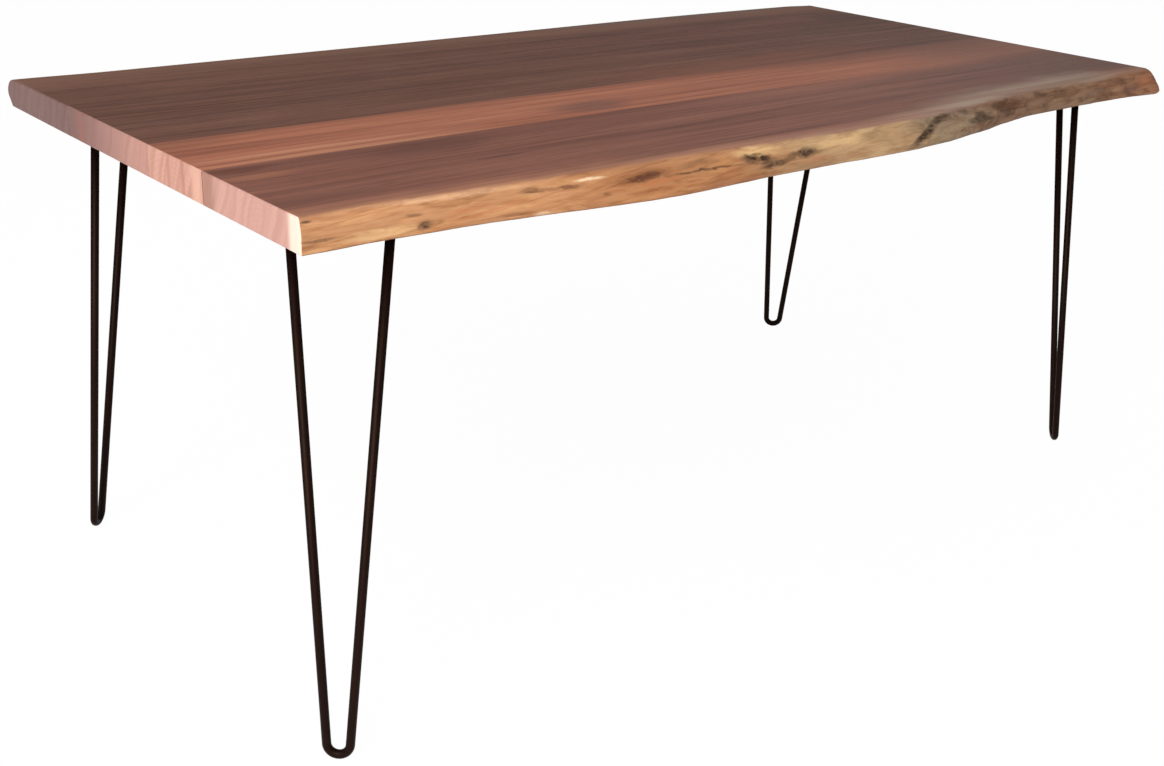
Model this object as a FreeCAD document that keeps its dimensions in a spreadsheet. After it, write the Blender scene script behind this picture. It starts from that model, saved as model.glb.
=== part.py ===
import FreeCAD, Part
import math
import os

import Sketcher

# Live edge dining table: a glued-up walnut top with a natural edge front and back, on four hairpin legs.
# X runs along the table, Y from the front edge to the back, Z up from the floor under the top's middle.
# Lengths are millimetres.

SIZES = (
    ("table_height", 781.0, "floor to the face of the top"),
    ("table_length", 1829.0, "sawn end to sawn end"),
    ("top_thickness", 44.5, "every board of the top"),
    ("front_board_width", 292.0, "front live edge board, at its widest"),
    ("middle_board_width", 157.0, "narrow board behind it"),
    ("inner_board_width", 264.0, "wide board with two planed edges"),
    ("rear_board_width", 257.0, "rear live edge board, at its widest"),
    ("arris_radius", 2.0, "eased edges of the sawn ends"),
    ("front_wane_depth", 90.0, "how far the front edge falls back from its widest point"),
    ("rear_wane_depth", 60.0, "the same at the rear edge"),
    ("overrun", 15.0, "how far a cut reaches past what it cuts"),
    ("tongue_width", 32.0, "loose tongue in each glue joint, across the joint"),
    ("tongue_thickness", 6.0, "up and down"),
    ("tongue_end_margin", 60.0, "sawn end to the tongue's end"),
    ("tongue_clearance", 0.2, "glue room round a tongue in its groove"),
    ("rod_diameter", 12.7, "round bar of the legs"),
    ("rod_spread", 128.0, "between a leg's two rods, at the underside of the top"),
    ("bend_radius", 16.5, "of the bar's centre line, at the foot"),
    ("leg_lean", 95.0, "how far a foot stands out from its plate, towards the corner"),
    ("leg_end_inset", 113.5, "sawn end to the middle of a leg's plate"),
    ("leg_front_inset", 159.0, "widest point of the front edge to the middle of a plate"),
    ("leg_rear_inset", 135.0, "the same at the rear edge"),
    ("plate_thickness", 5.0, "steel mounting plate"),
    ("plate_margin", 20.0, "from a rod's middle to the plate's sides"),
    ("plate_corner_chamfer", 6.0, "snipped corners of the plate"),
    ("plate_crop", 38.0, "cut off the plate's outer corner, along each side"),
    ("weld_leg", 3.0, "weld bead, along the plate and along the rod"),
    ("weld_toe", 0.6, "bead at its thin end"),
    ("screw_hole_diameter", 6.0, "in the plate"),
    ("screw_hole_inset", 19.0, "plate's side to a hole's middle"),
)
PLATE_HOLE_COUNT = 4
BEAD_RUN_COUNT = 8

# The natural edges, one row for each place along the table: the place as a share of half the length, then
# how far back from the widest point the edge lies at the top face, at its belly and at the underside, as
# shares of the wane's depth, and the belly's height as a share of the thickness.
FRONT_EDGE_SHARES = (
    (-1.02, 0.67, 0.62, 0.67, 0.50),
    (-0.90, 0.71, 0.57, 0.60, 0.35),
    (-0.77, 0.63, 0.49, 0.51, 0.20),
    (-0.55, 0.51, 0.22, 0.24, 0.12),
    (-0.40, 0.47, 0.06, 0.08, 0.10),
    (-0.11, 0.30, 0.07, 0.11, 0.15),
    (0.15, 0.30, 0.02, 0.05, 0.12),
    (0.32, 0.56, 0.18, 0.20, 0.10),
    (0.48, 0.78, 0.45, 0.48, 0.12),
    (0.64, 0.90, 0.59, 0.61, 0.15),
    (0.85, 0.80, 0.57, 0.60, 0.20),
    (1.02, 0.84, 0.46, 0.48, 0.10),
)
REAR_EDGE_SHARES = (
    (-1.02, 0.95, 0.20, 0.48, 0.38),
    (-0.58, 0.82, 0.27, 0.51, 0.46),
    (-0.22, 0.73, 0.18, 0.37, 0.35),
    (0.08, 0.63, 0.09, 0.25, 0.30),
    (0.44, 0.50, 0.01, 0.24, 0.40),
    (0.72, 0.53, 0.08, 0.33, 0.50),
    (1.02, 0.68, 0.17, 0.44, 0.42),
)
# From its belly the edge rolls over to the top face in flats, whose corners lie on a quarter of an ellipse.
# The flats that meet the board's two faces run on past them by a share of their length.
ROLL_FLAT_COUNT = 5
RUN_ON_SHARE = 0.3

UNDERSIDE = "(sizes.table_height - sizes.top_thickness)"
MID_TOP = "(sizes.table_height - sizes.top_thickness / 2)"
HALF_LENGTH = "(sizes.table_length / 2)"
HALF_WIDTH = (
    "((sizes.front_board_width + sizes.middle_board_width"
    " + sizes.inner_board_width + sizes.rear_board_width) / 2)"
)
FRONT_JOINT = f"(sizes.front_board_width - {HALF_WIDTH})"
MIDDLE_JOINT = f"({FRONT_JOINT} + sizes.middle_board_width)"
REAR_JOINT = f"({HALF_WIDTH} - sizes.rear_board_width)"

ROD_RADIUS = "(sizes.rod_diameter / 2)"
LEG_DROP = f"({UNDERSIDE} - {ROD_RADIUS})"
LEG_SLOPE_LENGTH = f"sqrt({LEG_DROP}^2 + sizes.leg_lean^2)"
PLATE_HALF = "(sizes.rod_spread / 2 / sqrt(2) + sizes.plate_margin)"
BEAD_DEPTH = "(sizes.plate_thickness + sizes.weld_leg / 2)"

# Each leg: its name, the side of the table along X, the edge that it stands at, the turn of its plate, and
# whether each of its two rods is the one nearer to the table's long side or to its sawn end.
LEGS = (
    ("rear_right", 1, "rear", 0, ("side", "end")),
    ("rear_left", -1, "rear", 90, ("end", "side")),
    ("front_left", -1, "front", 180, ("side", "end")),
    ("front_right", 1, "front", 270, ("end", "side")),
)
LEG_ROWS = {
    "front": f"(sizes.leg_front_inset - {HALF_WIDTH})",
    "rear": f"({HALF_WIDTH} - sizes.leg_rear_inset)",
}
DIAGONAL_DEGREES = 45

UP = FreeCAD.Vector(0, 0, 1)
PARALLEL_ERROR_RATIO = 1e-6

# How a sketch numbers a line's or an arc's points, and its own two axes.
START_INDEX, END_INDEX, CENTRE_INDEX = 1, 2, 3
H_AXIS_INDEX, V_AXIS_INDEX = -1, -2

doc = FreeCAD.newDocument("live_edge_table")
sheet = doc.addObject("Spreadsheet::Sheet", "sizes")
sub_parts = []


def fill_sheet():
    """Writes the driving dimensions, one row each: what it is, its value and its alias."""
    for row, (alias, amount, meaning) in enumerate(SIZES, start=1):
        sheet.set(f"A{row}", meaning)
        sheet.set(f"B{row}", str(amount))
        sheet.setAlias(f"B{row}", alias)
    doc.recompute()


def value(expression):
    """The number that an expression of the sheet comes to."""
    result = sheet.evalExpression(expression)
    return float(getattr(result, "Value", result))


def leg_middle(side):
    """Where a leg's plate has its middle along X."""
    return f"({side} * ({HALF_LENGTH} - sizes.leg_end_inset))"


def origin_item(body, role):
    """One of the body's own planes or axes."""
    return next(item for item in body.Origin.OriginFeatures if item.Role == role)


def new_body(label):
    """An empty body with its label."""
    body = doc.addObject("PartDesign::Body", label)
    body.Label = label
    return body


def new_leg_body(label, side, row, turn):
    """An empty body set at a leg: its origin is the middle of the plate, on the underside of the top."""
    body = new_body(label)
    body.Placement = FreeCAD.Placement(FreeCAD.Vector(), FreeCAD.Rotation(UP, turn))
    body.setExpression("Placement.Base.x", leg_middle(side))
    body.setExpression("Placement.Base.y", LEG_ROWS[row])
    body.setExpression("Placement.Base.z", UNDERSIDE)
    return body


def new_sketch(body, name, role, **offsets):
    """An empty sketch on one of the body's planes, moved along the plane's own axes."""
    sketch = body.newObject("Sketcher::SketchObject", name)
    sketch.AttachmentSupport = [(origin_item(body, role), "")]
    sketch.MapMode = "FlatFace"
    for axis, expression in offsets.items():
        sketch.setExpression(f"AttachmentOffset.Base.{axis}", expression)
    return sketch


def hold(sketch, expression, kind, *where):
    """Adds a dimension to a sketch and binds it to the sheet."""
    index = sketch.addConstraint(Sketcher.Constraint(kind, *where, value(expression)))
    sketch.setExpression(f"Constraints[{index}]", expression)


def pin(sketch, geometry, point, across, up):
    """Holds a point of a sketch at its two distances. It lies on an axis where a distance is None."""
    for expression, kind, axis in ((across, "DistanceX", V_AXIS_INDEX), (up, "DistanceY", H_AXIS_INDEX)):
        if expression is None:
            sketch.addConstraint(Sketcher.Constraint("PointOnObject", geometry, point, axis))
        else:
            hold(sketch, expression, kind, geometry, point)


def place(corner):
    """A corner given by two expressions, as a point."""
    across, up = (0 if expression is None else value(expression) for expression in corner)
    return FreeCAD.Vector(across, up, 0)


def draw_outline(sketch, corners):
    """Draws a closed outline of straight sides through corners, each given by two expressions."""
    points = [place(corner) for corner in corners]
    for start, end in zip(points, points[1:] + points[:1]):
        sketch.addGeometry(Part.LineSegment(start, end))
    for side, (across, up) in enumerate(corners):
        meeting = (side, START_INDEX, (side - 1) % len(points), END_INDEX)
        sketch.addConstraint(Sketcher.Constraint("Coincident", *meeting))
        pin(sketch, side, START_INDEX, across, up)


def draw_rectangle(sketch, left, right, bottom, top):
    """Draws an upright rectangle."""
    draw_outline(sketch, ((left, bottom), (right, bottom), (right, top), (left, top)))


def draw_polygon(sketch, sides, flat_radius):
    """Draws an even polygon about the sketch's origin, of which flat_radius reaches the sides' middles."""
    turns = [(corner + 0.5) * 2 * math.pi / sides for corner in range(sides)]
    corner_share = 1 / math.cos(math.pi / sides)
    shares = [(corner_share * math.cos(turn), corner_share * math.sin(turn)) for turn in turns]
    draw_outline(sketch, [(f"{across} * {flat_radius}", f"{up} * {flat_radius}") for across, up in shares])


def draw_circle(sketch, across, up, diameter):
    """Draws a circle."""
    middle = place((across, up))
    index = sketch.addGeometry(Part.Circle(middle, UP, value(diameter) / 2))
    pin(sketch, index, CENTRE_INDEX, across, up)
    hold(sketch, diameter, "Diameter", index)


def extrude(body, kind, name, sketch, length, **settings):
    """Pads or pockets a sketch."""
    feature = body.newObject(kind, name)
    feature.Profile = sketch
    feature.setExpression("Length", length)
    for setting, choice in settings.items():
        setattr(feature, setting, choice)
    doc.recompute()
    return feature


def repeat(body, kind, name, original, **settings):
    """Repeats or mirrors a feature, and makes the result the body's own."""
    pattern = body.newObject(kind, name)
    pattern.Originals = [original]
    for setting, choice in settings.items():
        setattr(pattern, setting, choice)
    body.Tip = pattern
    return pattern


def edges_along(shape, direction):
    """The names of a shape's straight edges that run in one direction."""
    names = []
    for number, edge in enumerate(shape.Edges, start=1):
        is_straight = isinstance(edge.Curve, Part.Line)
        if is_straight and edge.Curve.Direction.cross(direction).Length < PARALLEL_ERROR_RATIO:
            names.append(f"Edge{number}")
    return names


def lowest_face(shape):
    """The name of a shape's lowest face."""
    heights = [face.CenterOfMass.z for face in shape.Faces]
    return f"Face{heights.index(min(heights)) + 1}"


def ease_edges(body, kind, measure, feature, names, amount):
    """Rounds or chamfers some edges of a feature, given by their names or by the face that they bound."""
    dressing = body.newObject(kind, "eased_edges")
    dressing.Base = (feature, names)
    dressing.setExpression(measure, amount)
    doc.recompute()


def saw_board(label, front, rear):
    """A planed board between two lines along the table, with its sawn ends eased."""
    body = new_body(label)
    sketch = new_sketch(body, "side_view", "XZ_Plane", z=f"-{rear}")
    draw_rectangle(sketch, f"-{HALF_LENGTH}", HALF_LENGTH, UNDERSIDE, "sizes.table_height")
    blank = extrude(body, "PartDesign::Pad", "blank", sketch, f"{rear} - {front}")
    end_edges = edges_along(blank.Shape, FreeCAD.Vector(0, 1, 0))
    ease_edges(body, "PartDesign::Fillet", "Radius", blank, end_edges, "sizes.arris_radius")
    sub_parts.append(body)
    return body


def roll_shares():
    """The corners of the natural edge's roll, as shares of its rise from the belly and of its way back."""
    turns = [math.pi / 2 * flat / ROLL_FLAT_COUNT for flat in range(ROLL_FLAT_COUNT)]
    shares = [(math.sin(turn), 1 - math.cos(turn)) for turn in turns]
    last_rise, last_back = shares[-1]
    shares.append((1 + RUN_ON_SHARE * (1 - last_rise), 1 + RUN_ON_SHARE * (1 - last_back)))
    return shares


def edge_section(body, side, depth, row):
    """The waste outside the natural edge at one place along the board. side is -1 at the front.

    The edge stands upright at its belly, rolls back from there to the top face and slopes to the underside.
    """
    station_share, top_share, belly_share, foot_share, height_share = row
    level = f"({UNDERSIDE} + {height_share} * sizes.top_thickness)"

    def corner(back_share, height):
        return f"({side} * ({HALF_WIDTH} - {back_share} * {depth}))", height

    run_on = 1 + RUN_ON_SHARE
    foot_back_share = belly_share + run_on * (foot_share - belly_share)
    edge = [corner(foot_back_share, f"({level} - {run_on} * ({level} - {UNDERSIDE}))")]
    for rise_share, turn_share in roll_shares():
        height = f"({level} + {rise_share} * (sizes.table_height - {level}))"
        edge.append(corner(belly_share + turn_share * (top_share - belly_share), height))

    outside = f"({side} * ({HALF_WIDTH} + sizes.overrun))"
    ceiling, floor = "(sizes.table_height + sizes.overrun)", f"({UNDERSIDE} - sizes.overrun)"
    frame = [(edge[-1][0], ceiling), (outside, ceiling), (outside, floor), (edge[0][0], floor)]
    sketch = new_sketch(body, "edge_section", "YZ_Plane", z=f"{station_share} * {HALF_LENGTH}")
    draw_outline(sketch, edge + frame)
    return sketch


def cut_natural_edge(body, side, depth, rows):
    """Cuts the wavy natural edge along a board's outer side."""
    first, *others = [edge_section(body, side, depth, row) for row in rows]
    doc.recompute()
    waste = body.newObject("PartDesign::SubtractiveLoft", "natural_edge")
    waste.Profile = first
    waste.Sections = others
    doc.recompute()


def draw_tongue(body, name, joint, clearance):
    """The plan of a joint's loose tongue, or of its groove where clearance is given."""
    sketch = new_sketch(body, name, "XY_Plane", y=joint, z=MID_TOP)
    reach = f"({HALF_LENGTH} - sizes.tongue_end_margin + {clearance})"
    half_width = f"(sizes.tongue_width / 2 + {clearance})"
    draw_rectangle(sketch, f"-{reach}", reach, f"-{half_width}", half_width)
    return sketch


def cut_groove(body, joint):
    """Cuts a board's share of the groove for the tongue of one joint."""
    sketch = draw_tongue(body, "groove_plan", joint, "sizes.tongue_clearance")
    height = "sizes.tongue_thickness + 2 * sizes.tongue_clearance"
    extrude(body, "PartDesign::Pocket", "groove", sketch, height, SideType="Symmetric")


def make_tongue(label, joint):
    """The loose tongue of one glue joint."""
    body = new_body(label)
    sketch = draw_tongue(body, "tongue_plan", joint, "0")
    extrude(body, "PartDesign::Pad", "tongue", sketch, "sizes.tongue_thickness", SideType="Symmetric")
    sub_parts.append(body)


def bend_rod(label, side, row, turn):
    """One bar bent to a hairpin: half of it is swept from the middle of the bend, then mirrored."""
    body = new_leg_body(label, side, row, turn + DIAGONAL_DEGREES)
    ring = new_sketch(body, "bar_section", "XZ_Plane")
    draw_circle(ring, "sizes.leg_lean", f"-{LEG_DROP}", "sizes.rod_diameter")

    path = new_sketch(body, "half_hairpin", "YZ_Plane")
    lean = f"-atan(sizes.leg_lean / {LEG_DROP})"
    path.AttachmentOffset = FreeCAD.Placement(
        FreeCAD.Vector(), FreeCAD.Rotation(FreeCAD.Vector(1, 0, 0), value(lean))
    )
    path.setExpression("AttachmentOffset.Rotation.Angle", lean)
    radius, length = value("sizes.bend_radius"), value(LEG_SLOPE_LENGTH)
    centre = FreeCAD.Vector(0, radius - length, 0)
    top = FreeCAD.Vector(value("sizes.rod_spread / 2"), 0, 0)
    reach = top - centre
    heel = math.atan2(reach.y, reach.x) - math.acos(radius / reach.Length)
    bend = path.addGeometry(Part.ArcOfCircle(Part.Circle(centre, UP, radius), -math.pi / 2, heel))
    tangent_point = centre + FreeCAD.Vector(math.cos(heel), math.sin(heel), 0) * radius
    straight = path.addGeometry(Part.LineSegment(tangent_point, top))
    path.addConstraint(Sketcher.Constraint("PointOnObject", bend, CENTRE_INDEX, V_AXIS_INDEX))
    path.addConstraint(Sketcher.Constraint("Tangent", bend, END_INDEX, straight, START_INDEX))
    hold(path, "sizes.bend_radius", "Radius", bend)
    pin(path, bend, START_INDEX, None, f"-{LEG_SLOPE_LENGTH}")
    pin(path, straight, END_INDEX, "sizes.rod_spread / 2", None)
    doc.recompute()

    half = body.newObject("PartDesign::AdditivePipe", "half_rod")
    half.Profile = ring
    half.Spine = (path, ["Edge1", "Edge2"])
    doc.recompute()
    repeat(body, "PartDesign::Mirrored", "rod", half, MirrorPlane=(origin_item(body, "XZ_Plane"), [""]))
    doc.recompute()

    trim = new_sketch(body, "plate_underside", "XY_Plane", z="-sizes.plate_thickness")
    reach = "sizes.rod_spread"
    draw_rectangle(trim, f"-{reach}", reach, f"-{reach}", reach)
    above = "sizes.plate_thickness + sizes.overrun"
    extrude(body, "PartDesign::Pocket", "trimmed_ends", trim, above, Reversed=True)
    sub_parts.append(body)
    return body


def make_plate(label, side, row, turn):
    """A square mounting plate, its outer corner cropped, with a screw hole near the middle of each side."""
    body = new_leg_body(label, side, row, turn)
    outline = new_sketch(body, "plate_outline", "XY_Plane")
    crop = f"({PLATE_HALF} - sizes.plate_crop)"
    draw_outline(
        outline,
        (
            (f"-{PLATE_HALF}", f"-{PLATE_HALF}"),
            (PLATE_HALF, f"-{PLATE_HALF}"),
            (PLATE_HALF, crop),
            (crop, PLATE_HALF),
            (f"-{PLATE_HALF}", PLATE_HALF),
        ),
    )
    blank = extrude(body, "PartDesign::Pad", "blank", outline, "sizes.plate_thickness", Reversed=True)
    corners = edges_along(blank.Shape, UP)
    ease_edges(body, "PartDesign::Chamfer", "Size", blank, corners, "sizes.plate_corner_chamfer")
    plan = new_sketch(body, "hole_plan", "XY_Plane")
    draw_circle(plan, f"{PLATE_HALF} - sizes.screw_hole_inset", None, "sizes.screw_hole_diameter")
    hole = extrude(body, "PartDesign::Pocket", "hole", plan, "sizes.plate_thickness")
    axis = (origin_item(body, "Z_Axis"), [""])
    repeat(body, "PartDesign::PolarPattern", "holes", hole, Axis=axis, Occurrences=PLATE_HOLE_COUNT)
    doc.recompute()
    sub_parts.append(body)


def weld_rod(label, side, row, turn, hand, rod):
    """The weld bead round one rod of a leg, under its plate, laid in short straight runs."""
    body = new_leg_body(f"{label}_blank", side, row, turn + DIAGONAL_DEGREES)
    out = f"sizes.leg_lean * {BEAD_DEPTH} / {LEG_DROP}"
    drawn_in = f"(sizes.rod_spread / 2 - sizes.bend_radius) * {BEAD_DEPTH} / {LEG_DROP}"
    apart = f"{hand} * (sizes.rod_spread / 2 - {drawn_in})"
    plan = new_sketch(body, "bead_plan", "XY_Plane", x=out, y=apart, z="-sizes.plate_thickness")
    draw_polygon(plan, BEAD_RUN_COUNT, f"({ROD_RADIUS} + sizes.weld_leg)")
    blank = extrude(body, "PartDesign::Pad", "blank", plan, "sizes.weld_leg", Reversed=True)
    rim = [lowest_face(blank.Shape)]
    ease_edges(body, "PartDesign::Chamfer", "Size", blank, rim, "sizes.weld_leg - sizes.weld_toe")
    bead = doc.addObject("Part::Cut", label)
    bead.Label = label
    bead.Base = body
    bead.Tool = rod
    doc.recompute()
    sub_parts.append(bead)


def make_top():
    """The four boards of the top and the loose tongues in their three glue joints."""
    front = saw_board("front_live_edge_board", f"(-{HALF_WIDTH})", FRONT_JOINT)
    cut_natural_edge(front, -1, "sizes.front_wane_depth", FRONT_EDGE_SHARES)
    cut_groove(front, FRONT_JOINT)

    middle = saw_board("middle_board", FRONT_JOINT, MIDDLE_JOINT)
    cut_groove(middle, FRONT_JOINT)
    cut_groove(middle, MIDDLE_JOINT)

    inner = saw_board("rear_inner_board", MIDDLE_JOINT, REAR_JOINT)
    cut_groove(inner, MIDDLE_JOINT)
    cut_groove(inner, REAR_JOINT)

    rear = saw_board("rear_live_edge_board", REAR_JOINT, HALF_WIDTH)
    cut_natural_edge(rear, 1, "sizes.rear_wane_depth", REAR_EDGE_SHARES)
    cut_groove(rear, REAR_JOINT)

    make_tongue("front_joint_tongue", FRONT_JOINT)
    make_tongue("middle_joint_tongue", MIDDLE_JOINT)
    make_tongue("rear_joint_tongue", REAR_JOINT)


def make_legs():
    """The four legs, each a bent rod, its plate and its two weld beads."""
    for name, side, row, turn, nearer_edges in LEGS:
        rod = bend_rod(f"{name}_hairpin_rod", side, row, turn)
        make_plate(f"{name}_mounting_plate", side, row, turn)
        for hand, nearer in zip((1, -1), nearer_edges):
            weld_rod(f"{name}_{nearer}_weld_bead", side, row, turn, hand, rod)


def check_and_write():
    """Stops at anything that failed, and then writes one file for each sub-part."""
    doc.recompute()
    for item in doc.Objects:
        if "Invalid" in item.State or "Error" in item.State:
            raise RuntimeError(f"{item.Label} failed: {item.State}")
    for item in sub_parts:
        if item.Shape.isNull() or not item.Shape.isValid() or not item.Shape.Solids:
            raise RuntimeError(f"{item.Label} has no valid solid")
    os.makedirs("parts", exist_ok=True)
    for item in sub_parts:
        item.Shape.exportStep(f"parts/{item.Label}.step")
        print(f"{item.Label}: {len(item.Shape.Solids)} solids, {item.Shape.Volume:.0f} mm3")


fill_sheet()
make_top()
make_legs()
check_and_write()
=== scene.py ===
import logging
import math
from dataclasses import dataclass, field
from enum import Enum
from functools import reduce
from typing import Any, ClassVar

import bmesh
import bpy
from bmesh.types import BMEdge, BMesh, BMFace, BMVert
from bpy.types import Material, Node, NodeTree, Object
from bpy.types import NodeSocket as Socket
from mathutils import Matrix, Vector, noise
from mathutils.bvhtree import BVHTree


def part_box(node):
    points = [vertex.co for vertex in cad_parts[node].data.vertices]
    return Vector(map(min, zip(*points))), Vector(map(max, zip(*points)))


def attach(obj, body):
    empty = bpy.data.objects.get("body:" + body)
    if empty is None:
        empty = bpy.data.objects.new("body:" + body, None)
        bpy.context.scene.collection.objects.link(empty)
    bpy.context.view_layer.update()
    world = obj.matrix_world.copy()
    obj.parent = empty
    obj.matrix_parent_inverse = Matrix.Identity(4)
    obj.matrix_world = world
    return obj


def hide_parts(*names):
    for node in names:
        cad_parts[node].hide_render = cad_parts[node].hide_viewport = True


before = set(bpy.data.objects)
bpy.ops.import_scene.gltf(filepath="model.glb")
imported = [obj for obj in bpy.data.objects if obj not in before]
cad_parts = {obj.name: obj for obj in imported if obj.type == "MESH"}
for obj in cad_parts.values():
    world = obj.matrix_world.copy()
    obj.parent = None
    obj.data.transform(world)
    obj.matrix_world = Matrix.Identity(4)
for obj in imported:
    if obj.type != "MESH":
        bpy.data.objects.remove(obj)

# The looks of the live edge dining table. X runs along the table, Y from the front edge to the back and
# Z up from the floor. Lengths are metres, and colours are written as they look, from 0 to 255.

Colour = tuple[float, float, float, float]
Point = tuple[float, float, float]
Bounds = tuple[Vector, Vector]

LOG = logging.getLogger("live_edge_table")
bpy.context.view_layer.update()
BODY = "root"
REACH = "reach"
QUARTER_TURN = math.pi / 2
FULL_TURN = 2 * math.pi

# A Mix node's sockets for colours go by number, because its other kinds have the same names.
MIX_SHARE, MIX_FIRST, MIX_SECOND, MIX_RESULT = 0, 6, 7, 2


def srgb(*levels: int) -> Colour:
    """Turns a colour as it looks into the linear colour that a shader takes.

    Args:
        levels: Red, green and blue, from 0 to 255.

    Returns:
        The linear colour with an alpha of 1.
    """
    shares = (level / 255 for level in levels)
    linear = (s / 12.92 if s <= 0.04045 else ((s + 0.055) / 1.055) ** 2.4 for s in shares)
    return (*linear, 1.0)


def smoothstep(value: float, start: float, end: float) -> float:
    """Eases from 0 at start to 1 at end."""
    share = min(max((value - start) / (end - start), 0.0), 1.0)
    return share * share * (3 - 2 * share)


class Side(Enum):
    """The long sides of the table, by the way that they face along Y."""

    FRONT = -1
    REAR = 1


class End(Enum):
    """The sawn ends of the table."""

    LEFT = "left"
    RIGHT = "right"


class SocketKind(Enum):
    """The kinds of sockets that the effects have."""

    VALUE = "NodeSocketFloat"
    COLOUR = "NodeSocketColor"
    VECTOR = "NodeSocketVector"


class Graph:
    """A node tree, with short ways to add the nodes that the finishes use.

    A pattern's scale says how often it repeats along each axis, its detail how many finer layers it has,
    and its bend how far it is pulled about.
    """

    def __init__(self, tree: NodeTree) -> None:
        """Keeps the tree that the methods add to."""
        self.tree = tree

    def add(self, kind: str, feeds: Any = (), **settings: Any) -> Node:
        """Adds a node.

        Args:
            kind: The node's type name.
            feeds: What its inputs take, in order, or by their names or numbers.
            settings: Properties to set on it.

        Returns:
            The node.
        """
        node = self.tree.nodes.new(kind)
        for name, value in settings.items():
            setattr(node, name, value)
        for key, value in feeds.items() if isinstance(feeds, dict) else enumerate(feeds):
            self.feed(node.inputs[key], value)
        return node

    def feed(self, socket: Socket, value: Any) -> None:
        """Links an output to an input, or sets the input to a plain value.

        Args:
            socket: The input.
            value: An output socket, or a value.
        """
        if isinstance(value, Socket):
            self.tree.links.new(value, socket)
        else:
            socket.default_value = value

    def math(self, operation: str, *terms: Any) -> Socket:
        """Adds a sum of values or sockets."""
        return self.add("ShaderNodeMath", terms, operation=operation).outputs[0]

    def vector_math(self, operation: str, *terms: Any) -> Socket:
        """Adds a sum of vectors or sockets."""
        return self.add("ShaderNodeVectorMath", terms, operation=operation).outputs[0]

    def product(self, *terms: Any) -> Socket:
        """Multiplies two or more values or sockets."""
        return reduce(lambda first, second: self.math("MULTIPLY", first, second), terms)

    def length(self, *sides: Socket) -> Socket:
        """The length that two sides, square to each other, span."""
        return self.math("SQRT", self.math("ADD", *(self.math("POWER", side, 2.0) for side in sides)))

    def split(self, vector: Socket) -> tuple[Socket, ...]:
        """Splits a vector into its three parts."""
        return tuple(self.add("ShaderNodeSeparateXYZ", (vector,)).outputs)

    def join(self, *parts: Any) -> Socket:
        """Joins three values into a vector."""
        return self.add("ShaderNodeCombineXYZ", parts).outputs[0]

    def cloud(self, vector: Socket, scale: Point, detail: float, bend: float = 0.0) -> Socket:
        """Adds a soft random pattern, about 0.5 on average."""
        feeds = {"Vector": self.vector_math("MULTIPLY", vector, scale), "Detail": detail, "Distortion": bend}
        return self.add("ShaderNodeTexNoise", {"Scale": 1.0, "Roughness": 0.55, **feeds}).outputs["Fac"]

    def sway(self, vector: Socket, scale: Point, reach: float) -> Socket:
        """Adds a soft random shift about zero, with its lowest and highest values a reach apart."""
        return self.product(self.math("SUBTRACT", self.cloud(vector, scale, 4.0), 0.5), reach)

    def fade(self, value: Any, start: float, end: float) -> Socket:
        """Eases a value into a mask that is 0 at start and 1 at end."""
        feeds = {"Value": value, "From Min": start, "From Max": end}
        return self.add("ShaderNodeMapRange", feeds, interpolation_type="SMOOTHSTEP").outputs["Result"]

    def patches(self, vector: Socket, scale: Point, detail: float, bend: float, *span: float) -> Socket:
        """Adds a soft random pattern, eased into a mask over a span of its values."""
        return self.fade(self.cloud(vector, scale, detail, bend), *span)

    def mix(self, share: Any, first: Any, second: Any, blend: str = "MIX") -> Socket:
        """Mixes two colours, where the share says how much of the second one shows."""
        feeds = {MIX_SHARE: share, MIX_FIRST: first, MIX_SECOND: second}
        return self.add("ShaderNodeMix", feeds, data_type="RGBA", blend_type=blend).outputs[MIX_RESULT]

    def lay(self, colour: Any, *layers: tuple[Any, Any, Any], blend: str = "MIX") -> Socket:
        """Lays colours over one another.

        Args:
            colour: The lowest colour.
            layers: The mask, the strength and the colour of each layer, from the lowest.
            blend: How each layer goes over what lies under it.

        Returns:
            The colour that shows.
        """
        for mask, strength, over in layers:
            colour = self.mix(self.product(mask, strength), colour, over, blend)
        return colour

    def ramp(self, value: Socket, stops: tuple[tuple[float, Colour], ...]) -> Socket:
        """Runs a value through a row of colours.

        Args:
            value: The value.
            stops: Where each colour is reached, in rising order, and the colour.

        Returns:
            The colour.
        """
        first, last = stops[0][0], stops[-1][0]
        share = self.math("DIVIDE", self.math("SUBTRACT", value, first), last - first)
        node = self.add("ShaderNodeValToRGB", (share,))
        points = node.color_ramp.elements
        while len(points) < len(stops):
            points.new(1.0)
        for point, (place, colour) in zip(points, stops):
            point.position = (place - first) / (last - first)
            point.color = colour
        return node.outputs[0]


class Effect:
    """A shader node group that several finishes place, each with its own values."""

    label: ClassVar[str] = ""
    takes: ClassVar[dict[SocketKind, tuple[str, ...]]] = {}
    gives: ClassVar[dict[SocketKind, tuple[str, ...]]] = {}

    def __init__(self) -> None:
        """Makes the group with its sockets, and wires it."""
        self.tree = bpy.data.node_groups.new(self.label, "ShaderNodeTree")
        for direction, sockets in (("INPUT", self.takes), ("OUTPUT", self.gives)):
            for kind, names in sockets.items():
                for name in names:
                    self.tree.interface.new_socket(name, in_out=direction, socket_type=kind.value)
        self.graph = Graph(self.tree)
        self.given = self.graph.add("NodeGroupInput").outputs
        self.results = self.graph.add("NodeGroupOutput").inputs
        self.wire()

    def wire(self) -> None:
        """Adds the group's nodes."""
        raise NotImplementedError

    def give(self, **results: Socket) -> None:
        """Feeds the group's outputs, by name."""
        for name, result in results.items():
            self.graph.feed(self.results[name], result)

    def place(self, graph: Graph, **values: Any) -> Any:
        """Places the group in a material, and gives its outputs by name."""
        return graph.add("ShaderNodeGroup", values, node_tree=self.tree).outputs


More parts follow.
